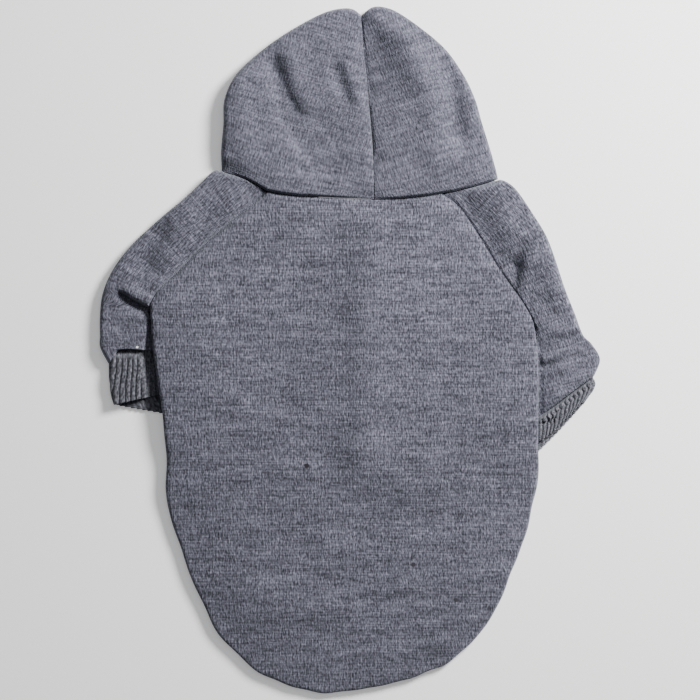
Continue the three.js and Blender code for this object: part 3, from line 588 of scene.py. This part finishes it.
# Turns flat cloth so that the knit runs along a line: the distance across it, and the length along it up to
# the nearest place.
def alongLine(line, flat):
    dense = atLengths(line, 200)
    length = np.r_[0, np.cumsum(np.linalg.norm(np.diff(dense, axis=0), axis=1))]
    points = flat.reshape(-1, 2)
    nearest = np.argmin(np.linalg.norm(points[:, None] - dense[None], axis=2), axis=1)
    way = np.gradient(dense, axis=0)
    way = way / np.linalg.norm(way, axis=1)[:, None]
    out = points - dense[nearest]
    across = out[:, 0] * way[nearest, 1] - out[:, 1] * way[nearest, 0]
    rest = np.sum(out * way[nearest], axis=1)
    return np.stack([across, length[nearest] + rest], axis=1).reshape(flat.shape)


# The places on the back's edge nearest to the points, moved out by the seam's space.
def besideBack(points):
    around = np.vstack([backEdge, backEdge[:1]])
    a, chord = around[:-1], np.diff(around, axis=0)
    share = np.einsum("ijk,jk->ij", points[:, None] - a[None], chord) / np.sum(chord**2, axis=1)[None]
    nearest = a[None] + chord[None] * np.clip(share, 0, 1)[..., None]
    best = np.argmin(np.linalg.norm(nearest - points[:, None], axis=2), axis=1)
    pick = np.arange(len(points))
    out = np.stack([chord[best][:, 1], -chord[best][:, 0]], axis=1)
    out = out / np.linalg.norm(out, axis=1)[:, None]
    on = nearest[pick, best]
    out = out * np.sign(np.sum(out * (on - middle), axis=1))[:, None]
    return on + out * seam


# The left sleeve's end and cuff arch up a little round x = -111.
def endArch(height, x):
    return height * np.exp(-(((x + 111) / 9) ** 2))


# Sections run from the raglan seam to the outer fold and back under. The height is the back's edge at the
# seam, mixed into the sleeve's own height, plus folds, crease and waves, and two layers where it is tucked.
# The first rows bend to the neck line, and the last ones droop over the cuff near the fold.
def makeSleeve(name, facts):
    count = 150
    table = atRows(facts["rows"], count)
    fold, upper, lower = table[:, 0:2], table[:, 2:4], table[:, 4:6]
    last = len(facts["rows"]) - 1
    row = np.linspace(0, last, count)
    arm = facts["underarmRow"]
    sewn = 1 - smooth(arm - 0.6, arm + 0.4, row)
    start = np.where((row < arm)[:, None], besideBack(upper), upper)
    blend = smooth(arm - 0.05, arm + 0.35, row)[:, None]
    start = np.where((row >= arm)[:, None], mix(besideBack(upper), upper, blend), start)
    endDrop = 1.2 * smooth(last - 0.35, last, row) + 1.5 * smooth(last - 0.1, last, row)
    tuck = facts["tuck"]
    drooping = smooth(last - 1.3, last + 0.9, row)
    droop = facts["droop"] * drooping / drooping[-1]
    arch = facts["endArch"] * smooth(last - 1.5, last, row)

    def height(px, py):
        away = np.hypot(px - start[:, None, 0], py - start[:, None, 1])
        seamHeight = backEdgeHeight(np.full_like(px, facts["bodyX"]), py)
        level = sleeveHeight + (seamHeight - sleeveHeight) * np.exp(-((away / 14) ** 2)) * sewn[:, None]
        level = level - seamValley(away, facts["seamReach"], facts["seamDepth"]) * sewn[:, None]
        level = level + foldsAt(facts["folds"], px, py) + waves(px, py, 0.2)
        if facts["crease"]:
            level = level + creaseAt(facts["crease"], px, py)
        edgeX = np.interp(py, tuck["y"], tuck["x"])
        under = smooth(tuck["startY"], tuck["endY"], py) * smooth(-0.5, 0.5, (px - edgeX) / tuck["width"])
        full = np.maximum(mix(level, twoLayers, under), twoLayers) - endDrop[:, None]
        full = full - stitchLine(away, facts["stitch"]) * sewn[:, None]
        fromNeck = neckAt(px) - py
        return np.maximum(mix(neckSeamHeight - 0.6, full, smooth(0, 5, fromNeck)), 2.4)

    section = foldedSections(start, fold, lower, height, lambda away: np.zeros_like(away))
    points, along = section["points"], section["along"]
    follow = (1 - np.clip(np.linspace(0, 1, count) / 0.16, 0, 1))[:, None] ** 2
    onTop = along >= 0
    rise = neckAt(points[..., 0]) - 2 * seam - mix(start[:, None, 1], fold[:, None, 1], np.clip(along, 0, 1))
    points[..., 1] += roundTheFold(np.where(onTop, rise * follow * smooth(0, 0.1, along), 0), along)
    nearFold = np.where(onTop, smooth(0.84, 1.0, along), 1.0)
    fromEndFold = np.abs(fold[-1, 0]) - np.abs(points[:, -underSteps:, 0])
    nearFold[:, -underSteps:] = 1 - smooth(2, 11, fromEndFold)
    points[..., 1] -= droop[:, None] * nearFold
    points[..., 1] += endArch(arch[:, None], points[..., 0])
    grid, grain = columns(section, topCount=70, edgeCount=70)
    grain = alongLine(facts["grainLine"], grain)
    print(name, "area", areaOf(grid))
    return sheetMesh(name, grid, grain)


leftSleevePiece = makeSleeve("sleeve_left_cloth", leftSleeve)
rightSleevePiece = makeSleeve("sleeve_right_cloth", rightSleeve)
print("sleeves made")


# The cuffs, with rows as the sleeves have them. A cuff is openHeight high up to the tucked line, and flat
# past it.
leftCuff = {
    "rows": [
        [-120.4, -1.1, -84.4, -1.1, -83.4, -1.3], [-120.2, -9.5, -84.0, -7.4, -83.0, -10.8],
        [-119.9, -18.0, -83.6, -13.2, -82.6, -21.8], [-118.0, -27.2, -83.2, -19.2, -82.2, -33.6]],
    "openHeight": 5.4, "tucked": {"y": [-20, -15, -6], "x": [-102.2, -102.8, -104.0], "width": 2.4},
    "bow": 0.0, "endArch": 1.3, "crease": None, "ribDepth": 0.9, "flat": (0.080, 0.030), "area": 0.0024,
}
rightCuff = {
    "rows": [
        [122.0, -13.4, 90.2, -37.8, 90.2, -38.2], [122.4, -17.0, 90.3, -41.6, 90.8, -43.2],
        [121.0, -20.0, 90.2, -46.0, 91.8, -48.2], [118.0, -24.0, 90.0, -49.6, 92.4, -52.4]],
    "openHeight": 5.2, "tucked": {"y": [-50, -10], "x": [94.9, 94.9], "width": -1.2},
    "bow": 1.0, "endArch": 0.0, "crease": (94.0, -37.6, 101.0, -34.6, 2.0, 0.8, 1.2),
    "ribDepth": 1.0, "flat": (0.078, 0.018), "area": 0.0013,
}
ribsPerCuff = 32
stepsPerRib = 10


# A tube: a folded section closed by half a turn at the inner fold. A rib's height is its depth times the
# absolute sine of half its phase, to the power 0.8.
def makeCuff(name, facts):
    count = 44
    table = atRows(facts["rows"], count)
    fold, upper, lower = table[:, 0:2], table[:, 2:4], table[:, 4:6]
    flatHeight = 2 * rib + 0.4
    tucked = facts["tucked"]
    row = np.linspace(0, 1, count)

    def height(px, py):
        edgeX = np.interp(py, tucked["y"], tucked["x"])
        level = mix(facts["openHeight"], flatHeight, smooth(-0.5, 0.5, (px - edgeX) / tucked["width"]))
        if facts["crease"]:
            level = np.maximum(level + creaseAt(facts["crease"], px, py), flatHeight)
        return mix(flatHeight - 0.3, level, smooth(0, 0.17, row)[:, None])

    points = foldedSections(upper, fold, lower, height, lambda away: np.zeros_like(away))["points"]
    points[..., 1] += endArch(facts["endArch"] * (1 - smooth(0, 0.6, row))[:, None], points[..., 0])
    inside = points[0] - points[3]
    inside = inside / np.linalg.norm(inside[:, :2], axis=1)[:, None]
    upperSide = smooth(0.45, 0.75, points[..., 2] / flatHeight) * (1 - smooth(0, 0.12, row))[:, None]
    points[..., :2] += 0.9 * upperSide[..., None] * inside[None, :, :2]
    inward = lower - fold
    inward = inward / np.linalg.norm(inward, axis=1)[:, None]
    turn = np.linspace(0, 1, 12)[None, 1:-1]
    bend = lower[:, None] + (upper - lower)[:, None] * turn[..., None]
    bend = bend + inward[:, None] * (flatHeight / 2 * np.sin(np.pi * turn))[..., None]
    bendZ = np.broadcast_to(flatHeight / 2 * (1 - np.cos(np.pi * turn)), bend.shape[:2])
    points = np.concatenate([points, np.dstack([bend, bendZ]), points[:, :1]], axis=1)
    width = np.linalg.norm(fold - lower, axis=1)[:, None]
    across = np.clip(np.linalg.norm(points[..., :2] - fold[:, None], axis=2) / width, 0, 1)
    points[..., 1] -= facts["bow"] * (row**2)[:, None] * np.sin(np.pi * across)
    around = stepsPerRib * ribsPerCuff
    grid = []
    for line in points:
        length = np.r_[0, np.cumsum(np.linalg.norm(np.diff(line, axis=0), axis=1))]
        wanted = np.linspace(0, length[-1], around + 1)[:-1]
        grid.append(np.stack([np.interp(wanted, length, line[:, j]) for j in range(3)], axis=1))
    grid = np.array(grid)
    # Ribs stand out along the surface's normal, and rise where they would go below the floor.
    along = np.gradient(grid, axis=0)
    aside = np.roll(grid, -1, axis=1) - np.roll(grid, 1, axis=1)
    normal = np.cross(along, aside)
    normal = normal / np.linalg.norm(normal, axis=2)[..., None]
    normal = normal * np.sign(normal[count // 2, 20, 2])
    step = np.arange(around)
    phase = step / stepsPerRib * 2 * np.pi + 0.5 * np.sin(step * 0.13)
    ridge = np.abs(np.sin(phase / 2))[None] ** 0.8
    facing = smooth(-0.3, 0.3, normal[..., 2])
    lift = facts["ribDepth"] * ridge * smooth(0.02, 0.2, row)[:, None]
    grid = grid + normal * (lift * facing)[..., None]
    grid[..., 2] += 0.7 * lift * (1 - facing)
    grain = np.dstack(np.broadcast_arrays(0.2 * step[None, :], np.linspace(0, 28, count)[:, None]))
    print(name, "area", areaOf(grid))
    return sheetMesh(name, grid, grain, ring=True, thickness=rib)


leftCuffPiece = makeCuff("cuff_left_cloth", leftCuff)
rightCuffPiece = makeCuff("cuff_right_cloth", rightCuff)
print("cuffs made")


# The hood. A row is the fold's x, y and the rim's x, y, from the neck to the top of the centre seam.
hoodSeam = [[12, 75.7], [11.8, 91], [11, 106], [9.6, 122], [8.2, 140], [6.4, 157], [5.8, 163.6]]
hoodFolds = [
    ([(-4, 92), (-4, 128)], 17, -1.6),
    ([(-38.5, 143), (-31, 118)], 4.6, -3.0), ([(-31, 118), (-16, 98)], 8.5, -2.3),
    ([(-30, 146), (-22, 124)], 5.5, 1.4),
    ([(-8, 141), (-2.5, 126)], 3.5, -1.7), ([(-1, 142), (4, 127)], 3.5, 1.0),
    ([(9, 160), (12, 128)], 8.0, -1.9), ([(12, 168), (17, 160)], 5.0, 1.6),
    ([(28, 165), (34, 159)], 4.5, -1.5),
    ([(28, 156), (35, 138)], 8.5, 4.3), ([(38, 126), (44, 100)], 10.0, 2.2),
    ([(49, 141), (52, 124), (54, 108)], 5.5, -2.2),
    ([(57, 126), (61, 108)], 4.0, 0.8), ([(-55, 134), (-56, 108)], 7.0, 1.8),
    ([(-20, 112), (-8, 96)], 9.0, -0.8), ([(-25, 132), (-16, 106)], 11.0, -1.2),
    ([(44, 96), (60, 98)], 5.0, 0.6),
]
leftHood = {
    "rows": [
        [-64.4, 90.15, -1.4, 60.2], [-64.6, 101, -12.5, 76], [-63.4, 113.5, -20, 92],
        [-62.9, 125.5, -24, 107], [-57.4, 137.4, -24.5, 121], [-45.5, 149.2, -21, 131.5],
        [-28, 161.3, -15.5, 138.6], [-10, 170.2, -10, 142.2], [0.5, 171.2, -6.5, 143.2],
        [5.5, 168.2, -3.1, 143.4]],
    "rimRise": 0.5, "flat": (0.125, 0.120), "area": 0.0102, "grainTurn": math.radians(-16),
}
rightHood = {
    "rows": [
        [74.4, 86.05, -1.0, 60.2], [70.6, 100, 8.5, 76], [66.2, 114, 14.5, 92], [62.6, 126.2, 17, 107],
        [57, 138.2, 16.5, 121], [48.5, 150.2, 13.5, 131.5], [35.5, 161.4, 8.8, 138.6],
        [20.5, 171, 4.2, 142.2], [11.5, 172, 0.4, 143.2], [5.9, 168.2, -2.7, 143.4]],
    "rimRise": -0.8, "flat": (0.125, 0.120), "area": 0.0100, "grainTurn": math.radians(18),
}


# Sections run from the centre seam to the outer fold and under to the rim. The height rises from the neck
# seam to the hood's own height plus folds and waves, less the centre seam's valley. The first rows bend to
# the neck line. side is -1 for the left half and 1 for the right.
def makeHood(name, facts, side):
    count = 150
    table = atRows(facts["rows"], count)
    fold, rim = table[:, 0:2], table[:, 2:4]
    share = np.linspace(0, 1, count)
    seamShares, neckShares = np.linspace(0, 1, 301), np.linspace(0, 1, 401)
    dense = atRows(hoodSeam, len(seamShares))
    centre = np.stack([np.interp(share, seamShares, dense[:, k]) for k in range(2)], axis=1)
    start = centre + np.array([side * seam / 2, seam])
    neck = neckLine[((neckLine[:, 0] - 12) * side > -0.1) & (np.abs(neckLine[:, 0]) < 62)]
    if side < 0:
        neck = neck[::-1]
    corner = [facts["rows"][0][0], facts["rows"][0][1] - seam]
    neck = atLengths(np.vstack([neck, corner]), len(neckShares))

    def height(px, py):
        fromNeck = py - neckAt(px)
        fromSeam = np.hypot(px - start[:, None, 0], py - start[:, None, 1])
        fromFold = np.hypot(px - fold[:, None, 0], py - fold[:, None, 1])
        crown = hoodHeight + foldsAt(hoodFolds, px, py) + waves(px, py, 0.25)
        crown = crown - seamValley(fromSeam, 3.5, 1.2) - stitchLine(fromSeam, 0.9)
        crown = crown + facts["rimRise"] * smooth(22, 4, fromFold)
        lip = (0.75 - 0.5 * np.exp(-(((px - 8) / 12) ** 2))) * smooth(-64, -44, px)
        rising = (1 - lip) * smooth(0, 8, fromNeck) + lip * smooth(0, 1.3, fromNeck)
        return np.maximum(mix(neckSeamHeight - 0.3, crown, rising), twoLayers + 0.3)

    section = foldedSections(start, fold, rim, height, lambda away: np.zeros_like(away))
    points, along = section["points"], section["along"]
    follow = (1 - np.clip(share / 0.3, 0, 1))[:, None] ** 2
    onTop = along >= 0
    t = np.clip(along, 0, 1)
    straight = mix(start[:, None], fold[:, None], t[..., None])
    neckX = np.interp(t, neckShares, neck[:, 0])
    dx = (neckX + side * seam * (1 - t) / 2 - straight[..., 0]) * follow
    dy = (neckAt(neckX) + seam - straight[..., 1]) * follow
    points[..., 0] += roundTheFold(np.where(onTop, dx, 0), along)
    points[..., 1] += roundTheFold(np.where(onTop, dy, 0), along)
    change = height(points[..., 0], points[..., 1]) - points[..., 2]
    points[..., 2] += roundTheFold(np.where(onTop, change, 0), along)
    bend = follow * smooth(0, 0.3, section["below"])[None]
    low = points[:, -underSteps:]
    low[..., 1] += (throatAt(low[..., 0]) + 3 * seam - low[..., 1]) * bend
    grid, grain = columns(section, topCount=80, edgeCount=60, grainTurn=facts["grainTurn"])
    print(name, "area", areaOf(grid))
    return sheetMesh(name, grid, grain)


leftHoodPiece = makeHood("hood_left_cloth", leftHood, -1)
rightHoodPiece = makeHood("hood_right_cloth", rightHood, 1)
print("hood made")


# The belly panel, which lies flat on the floor between the undersides of the sleeves and the back's wraps.
belly = {"flat": (0.152, 0.146), "area": 0.0188, "topY": 65.6}


# One side edge of the belly panel, as x for each y: along the sleeve's underside, then a lap inside the
# back's wrap.
def bellyEdge(facts, side):
    lower = atRows(facts["rows"], 21)[:13, 4:6]
    raglan = lower + np.array([-side * 0.6, 0])
    outline = atLengths(backOutline, 201)
    arm = back["underarmY"][0 if side < 0 else 1]
    keep = (np.sign(outline[:, 0]) == side) & (outline[:, 1] < arm - 9) & (outline[:, 1] > bellyHemY - 22)
    flank = outline[keep]
    inward = middle - flank
    inward = inward / np.linalg.norm(inward, axis=1)[:, None]
    flank = flank + inward * (sideWrap - lap)
    flank = flank[np.argsort(-flank[:, 1])]
    flank = flank[flank[:, 1] < raglan[-1, 1] - 4]
    edge = np.vstack([raglan, flank])
    return lambda y: np.interp(-y, -edge[:, 1], edge[:, 0])


# Rows from the throat to the hem, straight across, with the throat and the hem bowed down in the middle.
def makeBelly():
    left, right = bellyEdge(leftSleeve, -1), bellyEdge(rightSleeve, 1)
    share = np.linspace(0, 1, 71)[:, None]
    across = np.linspace(0, 1, 61)[None]
    y = mix(belly["topY"], bellyHemY, share)
    x = mix(left(y), right(y), across)
    bulge = 1 - (2 * across - 1) ** 2
    throat = (throatAt(np.clip(x, -37.7, 39.2)) - 0.7 - belly["topY"]) * np.sqrt(bulge)
    py = y + throat * (1 - smooth(0, 0.3, share)) - bellyHemDip * bulge * smooth(0.7, 1, share)
    grid = np.dstack([x, py, np.full_like(x, cloth)])
    print("belly area", areaOf(grid))
    return sheetMesh("belly_panel_cloth", grid, np.dstack([x, py]))


bellyPiece = makeBelly()
print("belly panel made")

fleeceBack = clothMaterial("fleeceBack", **fleece, flecks=back["flecks"])
fleeceLeft = clothMaterial("fleeceLeftSleeve", **fleece, flecks=leftSleeve["flecks"])
fleecePlain = clothMaterial("fleecePlain", **fleece)
fleeceHood = clothMaterial("fleeceHood", **hoodFleece)
ribMaterial = clothMaterial("ribKnit", **ribbing)
dress(backPiece, fleeceBack)
dress(bellyPiece, fleecePlain)
dress(leftSleevePiece, fleeceLeft)
dress(rightSleevePiece, fleecePlain)
dress(leftCuffPiece, ribMaterial)
dress(rightCuffPiece, ribMaterial)
dress(leftHoodPiece, fleeceHood)
dress(rightHoodPiece, fleeceHood)
print("pieces dressed")


# The studio, in metres: a pale floor under the garment, a key light from the upper right and a soft fill.
studio = {
    "floorHalf": 3.0, "floorDrop": 0.0002, "floorColour": (0.86, 0.86, 0.87, 1), "floorGlow": 0.3,
    "key": {"place": (0.49, 0.40, 0.45), "size": 0.26, "watts": 19.0, "colour": (1.0, 0.99, 0.97)},
    "fill": {"place": (0.3, 0.6, 1.4), "size": 1.0, "watts": 4, "colour": (0.97, 0.98, 1.0)},
    "sky": (0.93, 0.95, 1.0, 1), "skyStrength": 0.13,
    "lens": 100, "sensor": 36, "seenWidth": 0.35, "garmentTop": 0.006,
}


def makeFloor():
    half, z = studio["floorHalf"], -studio["floorDrop"]
    mesh = bpy.data.meshes.new("floor")
    corners = [(-half, -half, z), (half, -half, z), (half, half, z), (-half, half, z)]
    mesh.from_pydata(corners, [], [(0, 1, 2, 3)])
    floor = bpy.data.objects.new("floor", mesh)
    bpy.context.scene.collection.objects.link(floor)
    material = bpy.data.materials.new("paleFloor")
    material.use_nodes = True
    shader = material.node_tree.nodes["Principled BSDF"]
    shader.inputs["Base Color"].default_value = studio["floorColour"]
    shader.inputs["Roughness"].default_value = 0.9
    shader.inputs["Emission Color"].default_value = (1, 1, 1, 1)
    shader.inputs["Emission Strength"].default_value = studio["floorGlow"]
    mesh.materials.append(material)


# A round area light that shines on the middle of the garment.
def addLight(name, place, size, watts, colour):
    light = bpy.data.lights.new(name, "AREA")
    light.shape = "DISK"
    light.size = size
    light.energy = watts
    light.color = colour
    lamp = bpy.data.objects.new(name, light)
    lamp.location = place
    lamp.rotation_euler = (-Vector(place)).to_track_quat("-Z", "Y").to_euler()
    bpy.context.scene.collection.objects.link(lamp)


def makeSky():
    world = bpy.data.worlds.new("studio")
    world.use_nodes = True
    background = world.node_tree.nodes["Background"]
    background.inputs["Color"].default_value = studio["sky"]
    background.inputs["Strength"].default_value = studio["skyStrength"]
    bpy.context.scene.world = world


# The camera looks straight down from where its frame is as wide as seenWidth at the garment's top.
def makeCamera():
    camera = bpy.data.cameras.new("camera")
    camera.lens = studio["lens"]
    camera.sensor_width = studio["sensor"]
    eye = bpy.data.objects.new("camera", camera)
    distance = studio["seenWidth"] * studio["lens"] / studio["sensor"]
    eye.location = (0, 0.0002, distance + studio["garmentTop"])
    bpy.context.scene.collection.objects.link(eye)
    bpy.context.scene.camera = eye


makeFloor()
print("floor made")
addLight("key", **studio["key"])
addLight("fill", **studio["fill"])
makeSky()
makeCamera()
print("camera and lights made")
